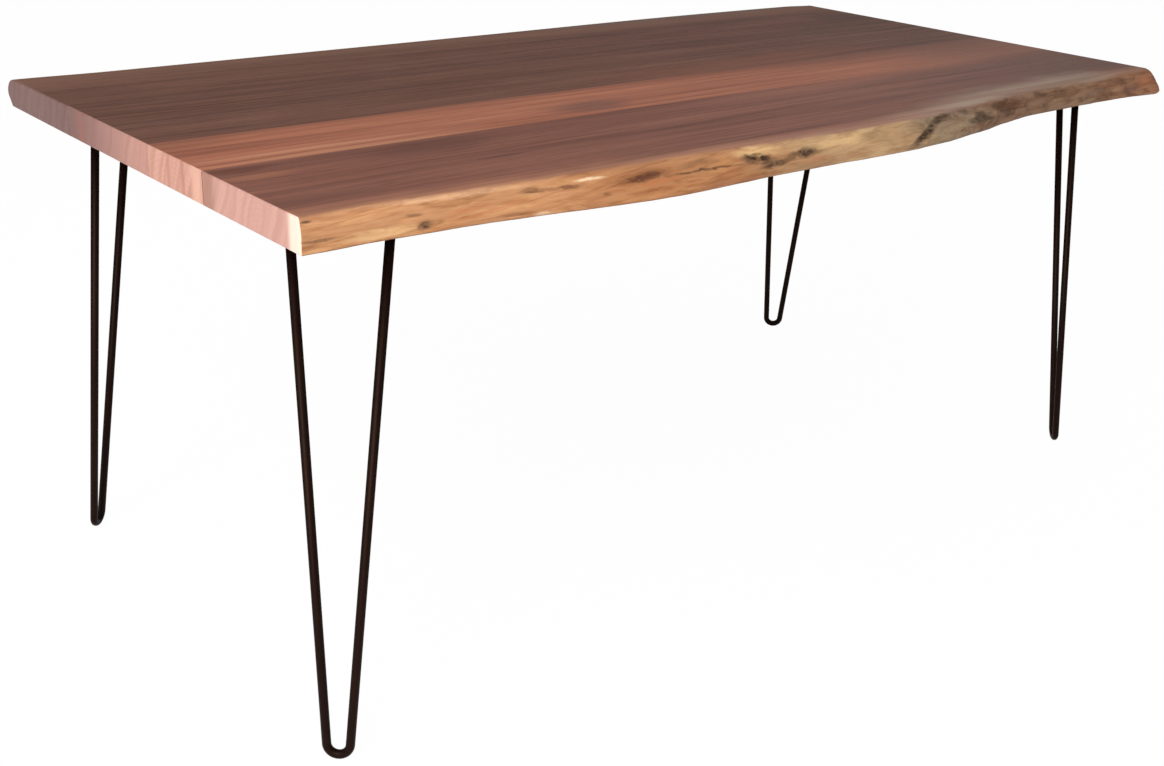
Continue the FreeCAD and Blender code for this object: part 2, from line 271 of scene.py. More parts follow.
class TimberGrain(Effect):
    """Rings about a pith, fibres and pores, cut along the table and across it at the sawn ends."""

    label = "timber_grain"
    takes = {
        SocketKind.VECTOR: ("Place", "Pith"),
        SocketKind.VALUE: ("End", "Figure"),
        SocketKind.COLOUR: ("Heart", "Dark", "Light", "Sawn", "SawnDark"),
    }
    gives = {SocketKind.COLOUR: ("Colour",), SocketKind.VALUE: ("Height",)}
    ring_rate = 900.0
    band_lean = 0.45

    def wire(self) -> None:
        """Adds the group's nodes."""
        graph, given = self.graph, self.given
        place, dark, light, sawn_dark = (given[name] for name in ("Place", "Dark", "Light", "SawnDark"))
        _, across, up = graph.split(graph.vector_math("SUBTRACT", place, given["Pith"]))
        slow = graph.sway(place, (0.8, 2.5, 2.5), 0.10)
        quick = graph.sway(place, (5.0, 26.0, 26.0), 0.014)
        across = graph.math("ADD", across, graph.math("ADD", slow, quick))
        wave = graph.math("SINE", graph.product(graph.length(across, up), self.ring_rate))
        rings = graph.math("POWER", graph.math("MULTIPLY_ADD", wave, 0.5, 0.5), 1.6)
        fibre = graph.cloud(place, (3.0, 330.0, 330.0), 3.0)
        streak = graph.cloud(place, (1.6, 62.0, 62.0), 4.0, 0.3)
        pores = graph.patches(place, (26.0, 900.0, 900.0), 1.0, 0.0, 0.40, 0.30)
        broad = graph.patches(place, (0.9, 9.0, 9.0), 3.0, 0.6, 0.36, 0.66)
        planed = graph.lay(
            given["Heart"],
            (rings, given["Figure"], dark),
            (broad, 0.40, light),
            (graph.fade(streak, 0.50, 0.70), 0.45, light),
            (graph.fade(streak, 0.48, 0.28), 0.70, dark),
            (graph.fade(fibre, 0.56, 0.30), 0.75, dark),
            (pores, 0.5, dark),
        )
        slant = graph.join(0.0, graph.math("MULTIPLY_ADD", up, self.band_lean, across), 0.0)
        bands = graph.patches(slant, (1.0, 62.0, 1.0), 3.0, 0.0, 0.38, 0.64)
        speck = graph.patches(place, (900.0, 900.0, 900.0), 1.0, 0.0, 0.62, 0.40)
        sawn = graph.lay(
            given["Sawn"], (rings, 0.16, sawn_dark), (bands, 0.60, sawn_dark), (speck, 0.20, sawn_dark)
        )
        height = graph.math("SUBTRACT", graph.product(fibre, 0.5), graph.product(pores, 0.6))
        self.give(Colour=graph.mix(given["End"], planed, sawn), Height=height)


class NaturalEdge(Effect):
    """The peeled outside of the log: long fibres, stains, and flecks where some bark stayed."""

    label = "natural_edge"
    takes = {
        SocketKind.VECTOR: ("Place",), SocketKind.VALUE: ("Coarse",), SocketKind.COLOUR: ("Wood", "Bark"),
    }
    gives = {SocketKind.COLOUR: ("Colour",), SocketKind.VALUE: ("Height",)}
    slant = 0.12
    paler = (1.26, 1.34, 1.30, 1.0)
    browner = (0.66, 0.52, 0.42, 1.0)
    duller = (0.62, 0.56, 0.46, 1.0)

    def wire(self) -> None:
        """Adds the group's nodes."""
        graph, given = self.graph, self.given
        place, coarse = given["Place"], given["Coarse"]
        along, across, up = graph.split(place)
        slanted = graph.join(along, across, graph.math("MULTIPLY_ADD", along, -self.slant, up))
        fibre = graph.cloud(place, (14.0, 120.0, 190.0), 4.0, 0.4)
        stain = graph.patches(place, (7.0, 30.0, 34.0), 4.0, 1.2, 0.44, 0.66)
        mottle = graph.patches(place, (24.0, 56.0, 72.0), 3.0, 0.4, 0.46, 0.72)
        tone = graph.patches(slanted, (5.0, 20.0, 44.0), 3.0, 0.5, 0.38, 0.64)
        smudge = graph.patches(place, (15.0, 60.0, 85.0), 4.0, 1.0, 0.52, 0.70)
        dash = graph.patches(slanted, (9.0, 90.0, 130.0), 3.0, 0.6, 0.52, 0.70)
        colour = graph.lay(
            given["Wood"],
            (tone, 0.8, self.paler),
            (graph.fade(fibre, 0.44, 0.70), 0.50, self.browner),
            (smudge, 0.60, self.duller),
            (dash, 0.60, self.browner),
            (stain, graph.math("MULTIPLY_ADD", coarse, 0.45, 0.35), self.browner),
            blend="MULTIPLY",
        )
        flecks = graph.product(mottle, coarse)
        height = graph.math("SUBTRACT", graph.product(fibre, 0.7), graph.product(flecks, 0.8))
        self.give(Colour=graph.lay(colour, (flecks, 0.70, given["Bark"])), Height=height)


class TornFibres(Effect):
    """What makes the marks on a natural edge ragged: torn borders, and patches that show through."""

    label = "torn_fibres"
    takes = {SocketKind.VECTOR: ("Place",)}
    gives = {SocketKind.VALUE: ("Tear", "Patch")}

    def wire(self) -> None:
        """Adds the group's nodes."""
        graph, place = self.graph, self.given["Place"]
        tear = graph.math("SUBTRACT", graph.cloud(place, (26.0, 60.0, 130.0), 4.0, 0.9), 0.5)
        patch = graph.patches(place, (48.0, 80.0, 110.0), 4.0, 1.6, 0.34, 0.58)
        self.give(Tear=tear, Patch=graph.math("MULTIPLY_ADD", patch, 0.4, 0.6))


class RaggedSpot(Effect):
    """The mask of one ragged oval mark on the natural edge."""

    label = "ragged_spot"
    takes = {
        SocketKind.VECTOR: ("Place", "Middle"),
        SocketKind.VALUE: ("Tear", "Patch", "HalfLength", "HalfHeight", "Tilt", "Ragged"),
    }
    gives = {SocketKind.VALUE: ("Mask",)}

    def wire(self) -> None:
        """Adds the group's nodes."""
        graph, given = self.graph, self.given
        along, _, up = graph.split(graph.vector_math("SUBTRACT", given["Place"], given["Middle"]))
        up = graph.math("ADD", up, graph.product(given["Tear"], given["Ragged"]))
        cosine, sine = graph.math("COSINE", given["Tilt"]), graph.math("SINE", given["Tilt"])
        run = graph.math("ADD", graph.product(along, cosine), graph.product(up, sine))
        rise = graph.math("SUBTRACT", graph.product(up, cosine), graph.product(along, sine))
        run = graph.math("DIVIDE", run, given["HalfLength"])
        rise = graph.math("DIVIDE", rise, given["HalfHeight"])
        self.give(Mask=graph.product(graph.fade(graph.length(run, rise), 1.35, 0.35), given["Patch"]))


class FineWear(Effect):
    """Handling marks: a thin film of dust and fine scuffs that break up a sheen."""

    label = "fine_wear"
    takes = {SocketKind.VECTOR: ("Place",), SocketKind.VALUE: ("Amount",)}
    gives = {SocketKind.VALUE: ("Dust", "Scuff")}

    def wire(self) -> None:
        """Adds the group's nodes."""
        graph, place, amount = self.graph, self.given["Place"], self.given["Amount"]
        film = graph.patches(place, (6.0, 6.0, 6.0), 5.0, 0.5, 0.45, 0.75)
        scuff = graph.patches(place, (40.0, 95.0, 60.0), 6.0, 0.3, 0.50, 0.72)
        self.give(Dust=graph.product(film, amount), Scuff=graph.product(scuff, amount))


@dataclass
class Effects:
    """The shared node groups, each made once."""

    grain: TimberGrain = field(default_factory=TimberGrain)
    edge: NaturalEdge = field(default_factory=NaturalEdge)
    torn: TornFibres = field(default_factory=TornFibres)
    spot: RaggedSpot = field(default_factory=RaggedSpot)
    wear: FineWear = field(default_factory=FineWear)


class Coat:
    """A material in the making: its graph, its shader, the place that it reads, and its colour so far."""

    def __init__(self, name: str, effects: Effects | None = None) -> None:
        """Makes the material with its shader.

        Args:
            name: The material's name.
            effects: The shared node groups, where the finish places any.
        """
        self.effects = effects
        self.material = bpy.data.materials.new(name)
        self.material.use_nodes = True
        self.graph = Graph(self.material.node_tree)
        self.shader = self.material.node_tree.nodes["Principled BSDF"]
        self.place = self.graph.add("ShaderNodeTexCoord").outputs["Object"]
        self.along, self.across, self.up = self.graph.split(self.place)
        self.colour: Any = None

    def lay(self, mask: Any, strength: Any, colour: Any) -> None:
        """Lays a colour over the colour so far, by a mask and a strength."""
        self.colour = self.graph.lay(self.colour, (mask, strength, colour))

    def feed(self, inputs: dict[str, Any]) -> None:
        """Links or sets the shader's own inputs, by name."""
        for name, value in inputs.items():
            self.graph.feed(self.shader.inputs[name], value)

    def wear(self, amount: float) -> Any:
        """Adds handling marks, and gives their masks by name."""
        return self.effects.wear.place(self.graph, Place=self.place, Amount=amount)

    def bump(self, height: Socket, distance: float, strength: float) -> None:
        """Bumps the surface, where a height of 1 comes to the distance in metres."""
        feeds = {"Height": height, "Distance": distance, "Strength": strength}
        self.feed({"Normal": self.graph.add("ShaderNodeBump", feeds).outputs["Normal"]})


@dataclass(frozen=True)
class WaneMark:
    """A knot, crack or stain on a natural edge, or a painted highlight near its crest.

    Its middle is given along the table and down from the top's face.
    """

    along: float
    drop: float
    half_length: float
    half_height: float
    strength: float
    ragged: float = 0.006
    depth: float = 0.0
    tilt: float = 0.0
    colour: Colour = srgb(58, 40, 30)

    def depth_at(self, along: float, drop: float) -> float:
        """How deep the mark goes at a point of the edge.

        Args:
            along: The point's place along the table.
            drop: How far it lies under the top's face.

        Returns:
            The depth.
        """
        step, rise = along - self.along, self.drop - drop
        run = step * math.cos(self.tilt) + rise * math.sin(self.tilt)
        side = rise * math.cos(self.tilt) - step * math.sin(self.tilt)
        reach = math.hypot(run / self.half_length, side / self.half_height)
        return self.depth * (1 - smoothstep(reach, 0.3, 1.2))


class Overlay:
    """A colour that lies over the planed faces of a board, or over its sawn ends."""

    colour: Colour
    strength: float
    sawn: bool

    def mask(self, coat: Coat) -> Socket:
        """Says how much of the colour shows at each place."""
        raise NotImplementedError

    def lay(self, coat: Coat, end: Socket) -> None:
        """Lays the colour over a coat, where the end is the mask of the sawn ends."""
        here = end if self.sawn else coat.graph.math("SUBTRACT", 1.0, end)
        coat.lay(coat.graph.product(self.mask(coat), here), self.strength, self.colour)


@dataclass(frozen=True)
class Streak(Overlay):
    """A long mark in the grain, such as a dark crack or a paler line, or a band in a sawn end."""

    along: float
    across: float
    half_length: float
    half_width: float
    colour: Colour
    strength: float
    sawn: bool = False
    wander_share: ClassVar[float] = 1.2

    def mask(self, coat: Coat) -> Socket:
        """Says how much of the streak shows at each place.

        Args:
            coat: The material in the making.

        Returns:
            The mask.
        """
        graph = coat.graph
        run = graph.math("DIVIDE", graph.math("SUBTRACT", coat.along, self.along), self.half_length)
        wander = graph.sway(coat.place, (7.0, 3.0, 3.0), self.wander_share * self.half_width)
        side = graph.math("ADD", graph.math("SUBTRACT", coat.across, self.across), wander)
        return graph.fade(graph.length(run, graph.math("DIVIDE", side, self.half_width)), 1.1, 0.3)


@dataclass(frozen=True)
class Drift(Overlay):
    """A slow change of a board's colour, from where it starts to where it is full, both ways."""

    along: tuple[float, float]
    across: tuple[float, float]
    colour: Colour
    strength: float
    sawn: bool = False
    wander: ClassVar[float] = 0.03

    def mask(self, coat: Coat) -> Socket:
        """Says how much of the change shows at each place.

        Args:
            coat: The material in the making.

        Returns:
            The mask.
        """
        graph = coat.graph
        across = graph.math("ADD", coat.across, graph.sway(coat.place, (2.0, 18.0, 18.0), self.wander))
        return graph.product(graph.fade(coat.along, *self.along), graph.fade(across, *self.across))


@dataclass(frozen=True)
class TimberFinish:
    """Oiled timber: the colours of its heart and of its sawn ends, and where its pith lies.

    A border says how far in from an end or a joint a mask starts, and how far in it is full.
    """

    name: str
    heart: Colour
    dark: Colour
    light: Colour
    sawn: Colour = srgb(205, 158, 146)
    sawn_dark: Colour = srgb(176, 126, 112)
    pith: Point = (0.0, 0.0, 0.6)
    figure: float = 0.35
    roughness: float = 0.46
    gloss: float = 0.22
    shine: Colour = srgb(255, 230, 208)
    overlays: tuple[Overlay, ...] = ()
    dust: ClassVar[Colour] = srgb(186, 160, 146)
    end_border: ClassVar[tuple[float, float]] = (0.0022, 0.0012)
    glue_border: ClassVar[tuple[float, float]] = (0.0010, 0.0003)

    def grow(self, coat: Coat, bounds: Bounds) -> tuple[Socket, Socket]:
        """Colours a coat with the grain that every board has, its overlays and its glue lines.

        Args:
            coat: The material in the making.
            bounds: The board's box.

        Returns:
            The bump's height, and the mask of the sawn ends.
        """
        low, high = bounds
        graph = coat.graph
        end = graph.fade(graph.math("ABSOLUTE", coat.along), *(high.x - inset for inset in self.end_border))
        grain = coat.effects.grain.place(
            graph, Place=coat.place, Pith=self.pith, End=end, Figure=self.figure, Heart=self.heart,
            Dark=self.dark, Light=self.light, Sawn=self.sawn, SawnDark=self.sawn_dark,
        )
        coat.colour = grain["Colour"]
        for overlay in self.overlays:
            overlay.lay(coat, end)
        middle, half = (low.y + high.y) / 2, (high.y - low.y) / 2
        reach = graph.math("ABSOLUTE", graph.math("SUBTRACT", coat.across, middle))
        coat.lay(graph.fade(reach, *(half - inset for inset in self.glue_border)), 0.45, self.dark)
        return grain["Height"], end

    def material(self, effects: Effects, bounds: Bounds) -> Material:
        """Makes the finish of a planed board.

        Args:
            effects: The shared node groups.
            bounds: The board's box.

        Returns:
            The material.
        """
        coat = Coat(self.name, effects)
        height, end = self.grow(coat, bounds)
        self.oil(coat, coat.graph.product(end, 0.12))
        coat.bump(height, 0.0003, 0.35)
        return coat.material

    def oil(self, coat: Coat, duller: Socket) -> None:
        """Gives a coat the satin sheen of oiled wood.

        Args:
            coat: The material in the making.
            duller: How much rougher the wood is where it isn't planed.
        """
        wear = coat.wear(0.5)
        coat.lay(wear["Dust"], 0.05, self.dust)
        rough = coat.graph.math("MULTIPLY_ADD", wear["Scuff"], 0.16, self.roughness)
        coat.feed({
            "Base Color": coat.colour, "Roughness": coat.graph.math("ADD", rough, duller),
            "Specular IOR Level": self.gloss, "Specular Tint": self.shine,
        })


@dataclass(frozen=True)
class LiveEdgeFinish(TimberFinish):
    """Oiled timber whose outer side is the peeled natural edge."""

    edge_colours: tuple[tuple[float, Colour], ...] = ()
    coarse_from: float = -0.1
    coarse_to: float = 0.4
    bark: Colour = srgb(70, 50, 38)
    sapwood: Colour = srgb(158, 110, 84)
    # The strip's colour along the right half, where it is a grey painted sheen on the roll of the top into
    # the natural edge.
    painted_sheen_on_sapwood: Colour = srgb(156, 134, 115)
    roll: float = 0.012
    pale_strips: tuple[tuple[float, float], ...] = ()
    pale: Colour = srgb(220, 199, 182)
    marks: tuple[WaneMark, ...] = ()

    def material(self, effects: Effects, bounds: Bounds) -> Material:
        """Makes the finish of a live edge board.

        Args:
            effects: The shared node groups.
            bounds: The board's box.

        Returns:
            The material.
        """
        low, high = bounds
        coat = Coat(self.name, effects)
        graph, place, along = coat.graph, coat.place, coat.along
        height, end = self.grow(coat, bounds)
        reach = graph.add("ShaderNodeAttribute", attribute_name=REACH).outputs["Fac"]
        above = graph.fade(coat.up, low.z + 0.0002, low.z + 0.0008)
        shown = graph.product(graph.math("SUBTRACT", 1.0, end), above)
        # The right half: there the sapwood strip along the crest is widened and greyed into a painted sheen
        # where the top rolls into the natural edge, and the natural edge's colour reaches further onto the
        # top.
        right = graph.product(graph.fade(along, 0.0, 0.35), graph.fade(along, 0.86, 0.72))
        inside = graph.math("DIVIDE", reach, graph.math("ADD", right, 1.0))
        inside = graph.math("ADD", inside, graph.sway(place, (9.0, 20.0, 20.0), 0.03))
        lines = graph.patches(place, (1.5, 130.0, 130.0), 3.0, 0.0, 0.38, 0.62)
        # The strip along the crest: real sapwood on the left, a painted sheen on the right half.
        sapwood_and_sheen = graph.product(graph.fade(inside, 0.034, -0.002), graph.math("MULTIPLY_ADD", lines, 0.5, 0.5))
        coat.lay(graph.product(sapwood_and_sheen, shown), 0.85, graph.mix(right, self.sapwood, self.painted_sheen_on_sapwood))
        border = graph.math("MULTIPLY_ADD", right, self.roll, reach)
        border = graph.math("ADD", border, graph.sway(place, (30.0, 60.0, 60.0), 0.006))
        wane = graph.product(graph.fade(border, 0.002, -0.008), shown)
        edge_colour, edge_height = self.peel(coat, high.z)
        coat.colour = graph.mix(wane, coat.colour, edge_colour)
        self.bleach_ends(coat, end)
        self.oil(coat, graph.product(wane, 0.14))
        coat.bump(graph.mix(wane, graph.product(height, 0.25), edge_height), 0.0010, 0.45)
        return coat.material

    def peel(self, coat: Coat, top: float) -> tuple[Socket, Socket]:
        """Adds the natural edge, with its knots, cracks and stains, and painted highlights near its crest.

        Args:
            coat: The material in the making.
            top: The height of the top's face.

        Returns:
            The edge's colour, and its bump's height.
        """
        graph, place, effects = coat.graph, coat.place, coat.effects
        shifted = graph.math("ADD", coat.along, graph.sway(place, (6.0, 20.0, 30.0), 0.22))
        wood = graph.ramp(shifted, self.edge_colours)
        coarse = graph.fade(shifted, self.coarse_from, self.coarse_to)
        edge = effects.edge.place(graph, Place=place, Wood=wood, Bark=self.bark, Coarse=coarse)
        colour = edge["Colour"]
        torn = effects.torn.place(graph, Place=place)
        for mark in self.marks:
            spot = effects.spot.place(
                graph, Place=place, Tear=torn["Tear"], Patch=torn["Patch"],
                Middle=(mark.along, 0.0, top - mark.drop), HalfLength=mark.half_length,
                HalfHeight=mark.half_height, Tilt=mark.tilt, Ragged=mark.ragged,
            )
            colour = graph.lay(colour, (spot["Mask"], mark.strength, mark.colour))
        return colour, edge["Height"]

    def bleach_ends(self, coat: Coat, end: Socket) -> None:
        """Whitens the sapwood in the sawn ends.

        Args:
            coat: The material in the making.
            end: The mask of the sawn ends.
        """
        graph = coat.graph
        for sign, line in self.pale_strips:
            inner, outer = line - math.copysign(0.006, line), line + math.copysign(0.008, line)
            here = graph.fade(graph.product(coat.along, sign), 0.0, 0.1)
            coat.lay(graph.product(graph.fade(coat.across, inner, outer), here), end, self.pale)


@dataclass(frozen=True)
class PaintFinish:
    """Dark satin paint on steel, with the faint orange peel and scuffs of a sprayed coat."""

    name: str
    paint: Colour = srgb(17, 7, 5)
    worn: Colour = srgb(44, 26, 19)
    shine: Colour = srgb(255, 206, 186)
    roughness: float = 0.42
    gloss: float = 0.10
    lumps: float = 0.0

    def material(self, effects: Effects) -> Material:
        """Makes the painted finish.

        Args:
            effects: The shared node groups.

        Returns:
            The material.
        """
        coat = Coat(self.name, effects)
        graph, place, wear = coat.graph, coat.place, coat.wear(0.5)
        coat.colour = self.paint
        coat.lay(graph.patches(place, (9.0, 9.0, 4.0), 3.0, 0.0, 0.35, 0.7), 0.25, self.worn)
        coat.lay(wear["Scuff"], 0.3, self.worn)
        coat.feed({
            "Base Color": coat.colour,
            "Roughness": graph.math("MULTIPLY_ADD", wear["Scuff"], 0.3, self.roughness),
            "Specular IOR Level": self.gloss, "Specular Tint": self.shine,
        })
        peel = graph.cloud(place, (420.0, 420.0, 420.0), 2.0)
        lump = graph.product(graph.cloud(place, (230.0, 230.0, 120.0), 1.0), self.lumps)
        coat.bump(graph.math("ADD", peel, lump), 0.0003, 0.25)
        return coat.material


@dataclass(frozen=True)
class PlywoodFinish:
    """Raw birch plywood, its plies stacked up and down."""

    name: str
    ply: float = 0.0015
    face: Colour = srgb(214, 184, 142)
    core: Colour = srgb(178, 138, 96)
    roughness: float = 0.75

    def material(self, effects: Effects) -> Material:
        """Makes the plywood.

        Args:
            effects: The shared node groups.

        Returns:
            The material.
        """
        coat = Coat(self.name, effects)
        graph = coat.graph
        layer = graph.fade(graph.math("SINE", graph.product(coat.up, FULL_TURN / self.ply)), -0.4, 0.4)
        fibre = graph.cloud(coat.place, (6.0, 180.0, 180.0), 3.0)
        coat.colour = graph.mix(layer, self.face, self.core)
        coat.lay(graph.fade(fibre, 0.6, 0.35), 0.4, self.core)
        coat.lay(coat.wear(0.4)["Dust"], 1.0, self.face)
        coat.feed({"Base Color": coat.colour, "Roughness": self.roughness})
        coat.bump(fibre, 0.0003, 0.3)
        return coat.material


def dress(node: str, material: Material) -> None:
    """Gives a solid of the frame its finish.

    Args:
        node: The solid's name.
        material: Its finish.
    """
    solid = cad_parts[node]
    solid.data.materials.clear()
    solid.data.materials.append(material)
    LOG.info("dressed %s with %s", node, material.name)


def make_object(maker: BMesh, name: str, material: Material) -> Object:
    """Turns a mesh in the making into an object of the scene.

    Args:
        maker: The mesh in the making, which is freed.
        name: The object's name.
        material: Its finish.

    Returns:
        The object.
    """
    mesh = bpy.data.meshes.new(name)
    maker.to_mesh(mesh)
    maker.free()
    mesh.materials.append(material)
    made = bpy.data.objects.new(name, mesh)
    bpy.context.scene.collection.objects.link(made)
    return made


def finish_piece(maker: BMesh, name: str, material: Material, slot: str, *nodes: str) -> None:
    """Turns a mesh in the making into a piece that rides on the table.

    Args:
        maker: The mesh in the making, which is freed.
        name: The piece's name.
        material: Its finish.
        slot: A material slot of the record; it is not used.
        nodes: The solids of the frame that it stands in for.
    """
    piece = make_object(maker, name, material)
    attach(piece, BODY)
    if nodes:
        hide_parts(*nodes)
    LOG.info("built %s with %d faces", name, len(piece.data.polygons))


def verts_of(geometry: list[Any]) -> list[BMVert]:
    """The points among what an operator made."""
    return [item for item in geometry if isinstance(item, BMVert)]


def edges_of(geometry: list[Any]) -> list[BMEdge]:
    """The edges among what an operator made."""
    return [item for item in geometry if isinstance(item, BMEdge)]


def rims(maker: BMesh) -> list[BMEdge]:
    """The open edges of a mesh in the making."""
    return [edge for edge in maker.edges if edge.is_boundary]


def whole(maker: BMesh) -> list[Any]:
    """Everything in a mesh in the making."""
    return [*maker.verts, *maker.edges, *maker.faces]


def turn_profile(maker: BMesh, points: list[tuple[float, float]], steps: int) -> None:
    """Turns a profile once round the upright axis.

    Args:
        maker: The mesh in the making.
        points: How far out and how high each point of the profile lies.
        steps: How many flats the turn has.
    """
    verts = [maker.verts.new((out, 0, up)) for out, up in points]
    edges = [maker.edges.new(pair) for pair in zip(verts, verts[1:])]
    bmesh.ops.spin(
        maker, geom=verts + edges, cent=(0, 0, 0), axis=(0, 0, 1), angle=FULL_TURN, steps=steps,
        use_merge=True,
    )


@dataclass(frozen=True)
class EndFlare:
    """How far the natural edge stands out from the plain solid near a sawn end.

    The moves are spaced evenly from the top's face to the underside.
    """

    end: End
    reach: float
    moves: tuple[float, ...]

    def move_at(self, away: float, share: float) -> float:
        """How far a point of the edge moves out.

        Args:
            away: How far the point lies from the end.
            share: How far down the edge it lies, from 0 to 1.

        Returns:
            The move.
        """
        step = share * (len(self.moves) - 1)
        above = min(int(step), len(self.moves) - 2)
        upper, lower = self.moves[above:above + 2]
        return (upper + (step - above) * (lower - upper)) * (1 - smoothstep(away, 0.0, self.reach))


@dataclass
class LiveEdgeBoard:
    """A board with a natural edge, modelled finer over the plain solid of the frame.

    A point's reach is how far it lies from the crest of the natural edge. It is below zero down the edge.
    """

    node: str
    side: Side
    finish: LiveEdgeFinish
    flares: tuple[EndFlare, ...] = ()
    station_count: int = 560
    row_count: int = 26
    smooth_rounds: int = 6
    lump: float = 0.0022
    lump_scale: Point = (11.0, 6.0, 30.0)
    fibre: float = 0.0007
    fibre_scale: Point = (30.0, 40.0, 260.0)
    carve_drop: float = 0.012
    sap_width: float = 0.03
    arris: float = 0.002
    arris_steps: int = 3
    skin: float = 0.0001
    end_clearance: float = 0.003
    rim_slack: float = 0.0002
    slot: str = "live_edge_walnut"

    def __post_init__(self) -> None:
        """Reads the solid's box, and starts the mesh and its layer of reaches."""
        self.low, self.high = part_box(self.node)
        self.maker = bmesh.new()
        self.reach = self.maker.verts.layers.float.new(REACH)

    def build(self, effects: Effects) -> None:
        """Builds and dresses the board.

        Args:
            effects: The shared node groups.
        """
        self.shape_edge()
        self.ease_ends(self.close_board())
        material = self.finish.material(effects, (self.low, self.high))
        finish_piece(self.maker, f"{self.node}_carved", material, self.slot, self.node)

    def shape_edge(self) -> None:
        """Lays a fine sheet on the natural edge of the solid, rounds it and carves its marks."""
        low, high, maker, skin, way = self.low, self.high, self.maker, self.skin, self.side.value
        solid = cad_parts[self.node].data
        tree = BVHTree.FromPolygons([v.co for v in solid.vertices], [p.vertices[:] for p in solid.polygons])
        bmesh.ops.create_grid(maker, x_segments=self.station_count, y_segments=self.row_count, size=0.5)
        outside = way * 2 * max(abs(low.y), abs(high.y))
        inwards = Vector((0, -way, 0))
        inner = []
        for vert in maker.verts:
            share, row = vert.co.x + 0.5, vert.co.y + 0.5
            along = low.x + self.arris + share * (high.x - low.x - 2 * self.arris)
            up = low.z + (high.z - low.z) * math.sin(row * QUARTER_TURN)
            clear = min(max(along, low.x + self.end_clearance), high.x - self.end_clearance)
            eye = Vector((clear, outside, high.z - skin))
            crest = tree.ray_cast(eye, inwards)[0]
            eye.z = min(max(up, low.z + skin), high.z - skin)
            hit = tree.ray_cast(eye, inwards)[0]
            vert.co = (along, hit.y + way * self.flare_at(along, up), up)
            vert[self.reach] = -math.hypot(high.z - up, hit.y - crest.y)
            if skin < row < 1 - skin:
                inner.append(vert)
        for _ in range(self.smooth_rounds):
            bmesh.ops.smooth_vert(maker, verts=inner, factor=0.5, use_axis_y=True, use_axis_z=True)
        bmesh.ops.recalc_face_normals(maker, faces=maker.faces)
        maker.normal_update()
        for vert in maker.verts:
            self.carve(vert)

    def flare_at(self, along: float, up: float) -> float:
        """How far the edge stands out from the solid at a point.

        Args:
            along: The point's place along the table.
            up: Its height.

        Returns:
            The move out.
        """
        away = {End.LEFT: along - self.low.x, End.RIGHT: self.high.x - along}
        share = (self.high.z - up) / (self.high.z - self.low.z)
        return sum(flare.move_at(away[flare.end], share) for flare in self.flares)

    def carve(self, vert: BMVert) -> None:
        """Moves a point of the natural edge in or out, by lumps, fibres and marks.

        Args:
            vert: The point.
        """
        place, drop = vert.co.copy(), self.high.z - vert.co.z
        hold = smoothstep(drop, 0.0, self.carve_drop)
        lump = noise.noise(place * Vector(self.lump_scale))
        fibre = noise.fractal(place * Vector(self.fibre_scale), 1.0, 2.0, 3)
        coarse = 1 + smoothstep(place.x, self.finish.coarse_from, self.finish.coarse_to)
        move = hold * coarse * (self.lump * lump + self.fibre * fibre)
        move -= hold * sum(mark.depth_at(place.x, drop) for mark in self.finish.marks)
        vert.co.y += self.side.value * abs(vert.normal.y) * move

    def close_board(self) -> list[BMFace]:
        """Draws the sheet out to the top's face, the glue joint and the underside, and closes the ends.

        Returns:
            The faces of the sawn ends.
        """
        low, high, maker, reach = self.low, self.high, self.maker, self.reach
        joint = high.y if self.side is Side.FRONT else low.y
        crest = [e for e in rims(maker) if all(v.co.z > high.z - self.rim_slack for v in e.verts)]
        foot = [e for e in rims(maker) if all(v.co.z < low.z + self.rim_slack for v in e.verts)]
        crest = self.draw_out(crest, Vector((0, -self.side.value * self.sap_width, 0)))
        for vert in {v for e in crest for v in e.verts}:
            vert[reach] = self.sap_width
        crest = self.draw_out(crest, Vector())
        for vert in {v for e in crest for v in e.verts}:
            vert[reach] = self.sap_width + abs(joint - vert.co.y)
            vert.co.y = joint
        crest = self.draw_out(crest, Vector((0, 0, low.z - high.z)))
        bmesh.ops.bridge_loops(maker, edges=foot + crest)
        ends = bmesh.ops.holes_fill(maker, edges=rims(maker), sides=0)["faces"]
        bmesh.ops.recalc_face_normals(maker, faces=maker.faces)
        for face in maker.faces:
            face.smooth = all(vert[reach] <= self.sap_width for vert in face.verts)
        return ends

    def draw_out(self, row: list[BMEdge], step: Vector) -> list[BMEdge]:
        """Draws a row of edges out into a new strip of faces.

        Args:
            row: The edges.
            step: How far the new row moves.

        Returns:
            The new row.
        """
        drawn = bmesh.ops.extrude_edge_only(self.maker, edges=row)["geom"]
        fresh = set(verts_of(drawn))
        bmesh.ops.translate(self.maker, vec=step, verts=list(fresh))
        return [edge for edge in edges_of(drawn) if fresh.issuperset(edge.verts)]

    def ease_ends(self, ends: list[BMFace]) -> None:
        """Draws the sawn ends out over a rounded arris.

        Args:
            ends: The faces of the sawn ends.
        """
        angles = [QUARTER_TURN * step / self.arris_steps for step in range(self.arris_steps + 1)]
        for before, after in zip(angles, angles[1:]):
            bmesh.ops.inset_individual(
                self.maker, faces=ends, thickness=self.arris * (math.cos(before) - math.cos(after)),
                depth=self.arris * (math.sin(after) - math.sin(before)), use_even_offset=True,
            )


@dataclass
class PlanedBoard:
    """A board with two planed edges: the frame's own solid, dressed."""

    node: str
    finish: TimberFinish

    def build(self, effects: Effects) -> None:
        """Dresses the board."""
        dress(self.node, self.finish.material(effects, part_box(self.node)))


@dataclass
class TableTop:
    """The glued-up top: four boards and the loose tongues in their joints."""

    boards: tuple[LiveEdgeBoard | PlanedBoard, ...]
    tongues: tuple[str, ...]
    plywood: PlywoodFinish

    def build(self, effects: Effects) -> None:
        """Builds the boards and dresses the tongues.

        Args:
            effects: The shared node groups.
        """
        for board in self.boards:
            board.build(effects)
        tongue_material = self.plywood.material(effects)
        for tongue in self.tongues:
            dress(tongue, tongue_material)


@dataclass(frozen=True)
class LegFinishes:
    """The finishes of a leg's pieces."""

    rod: Material
    plate: Material
    weld: Material


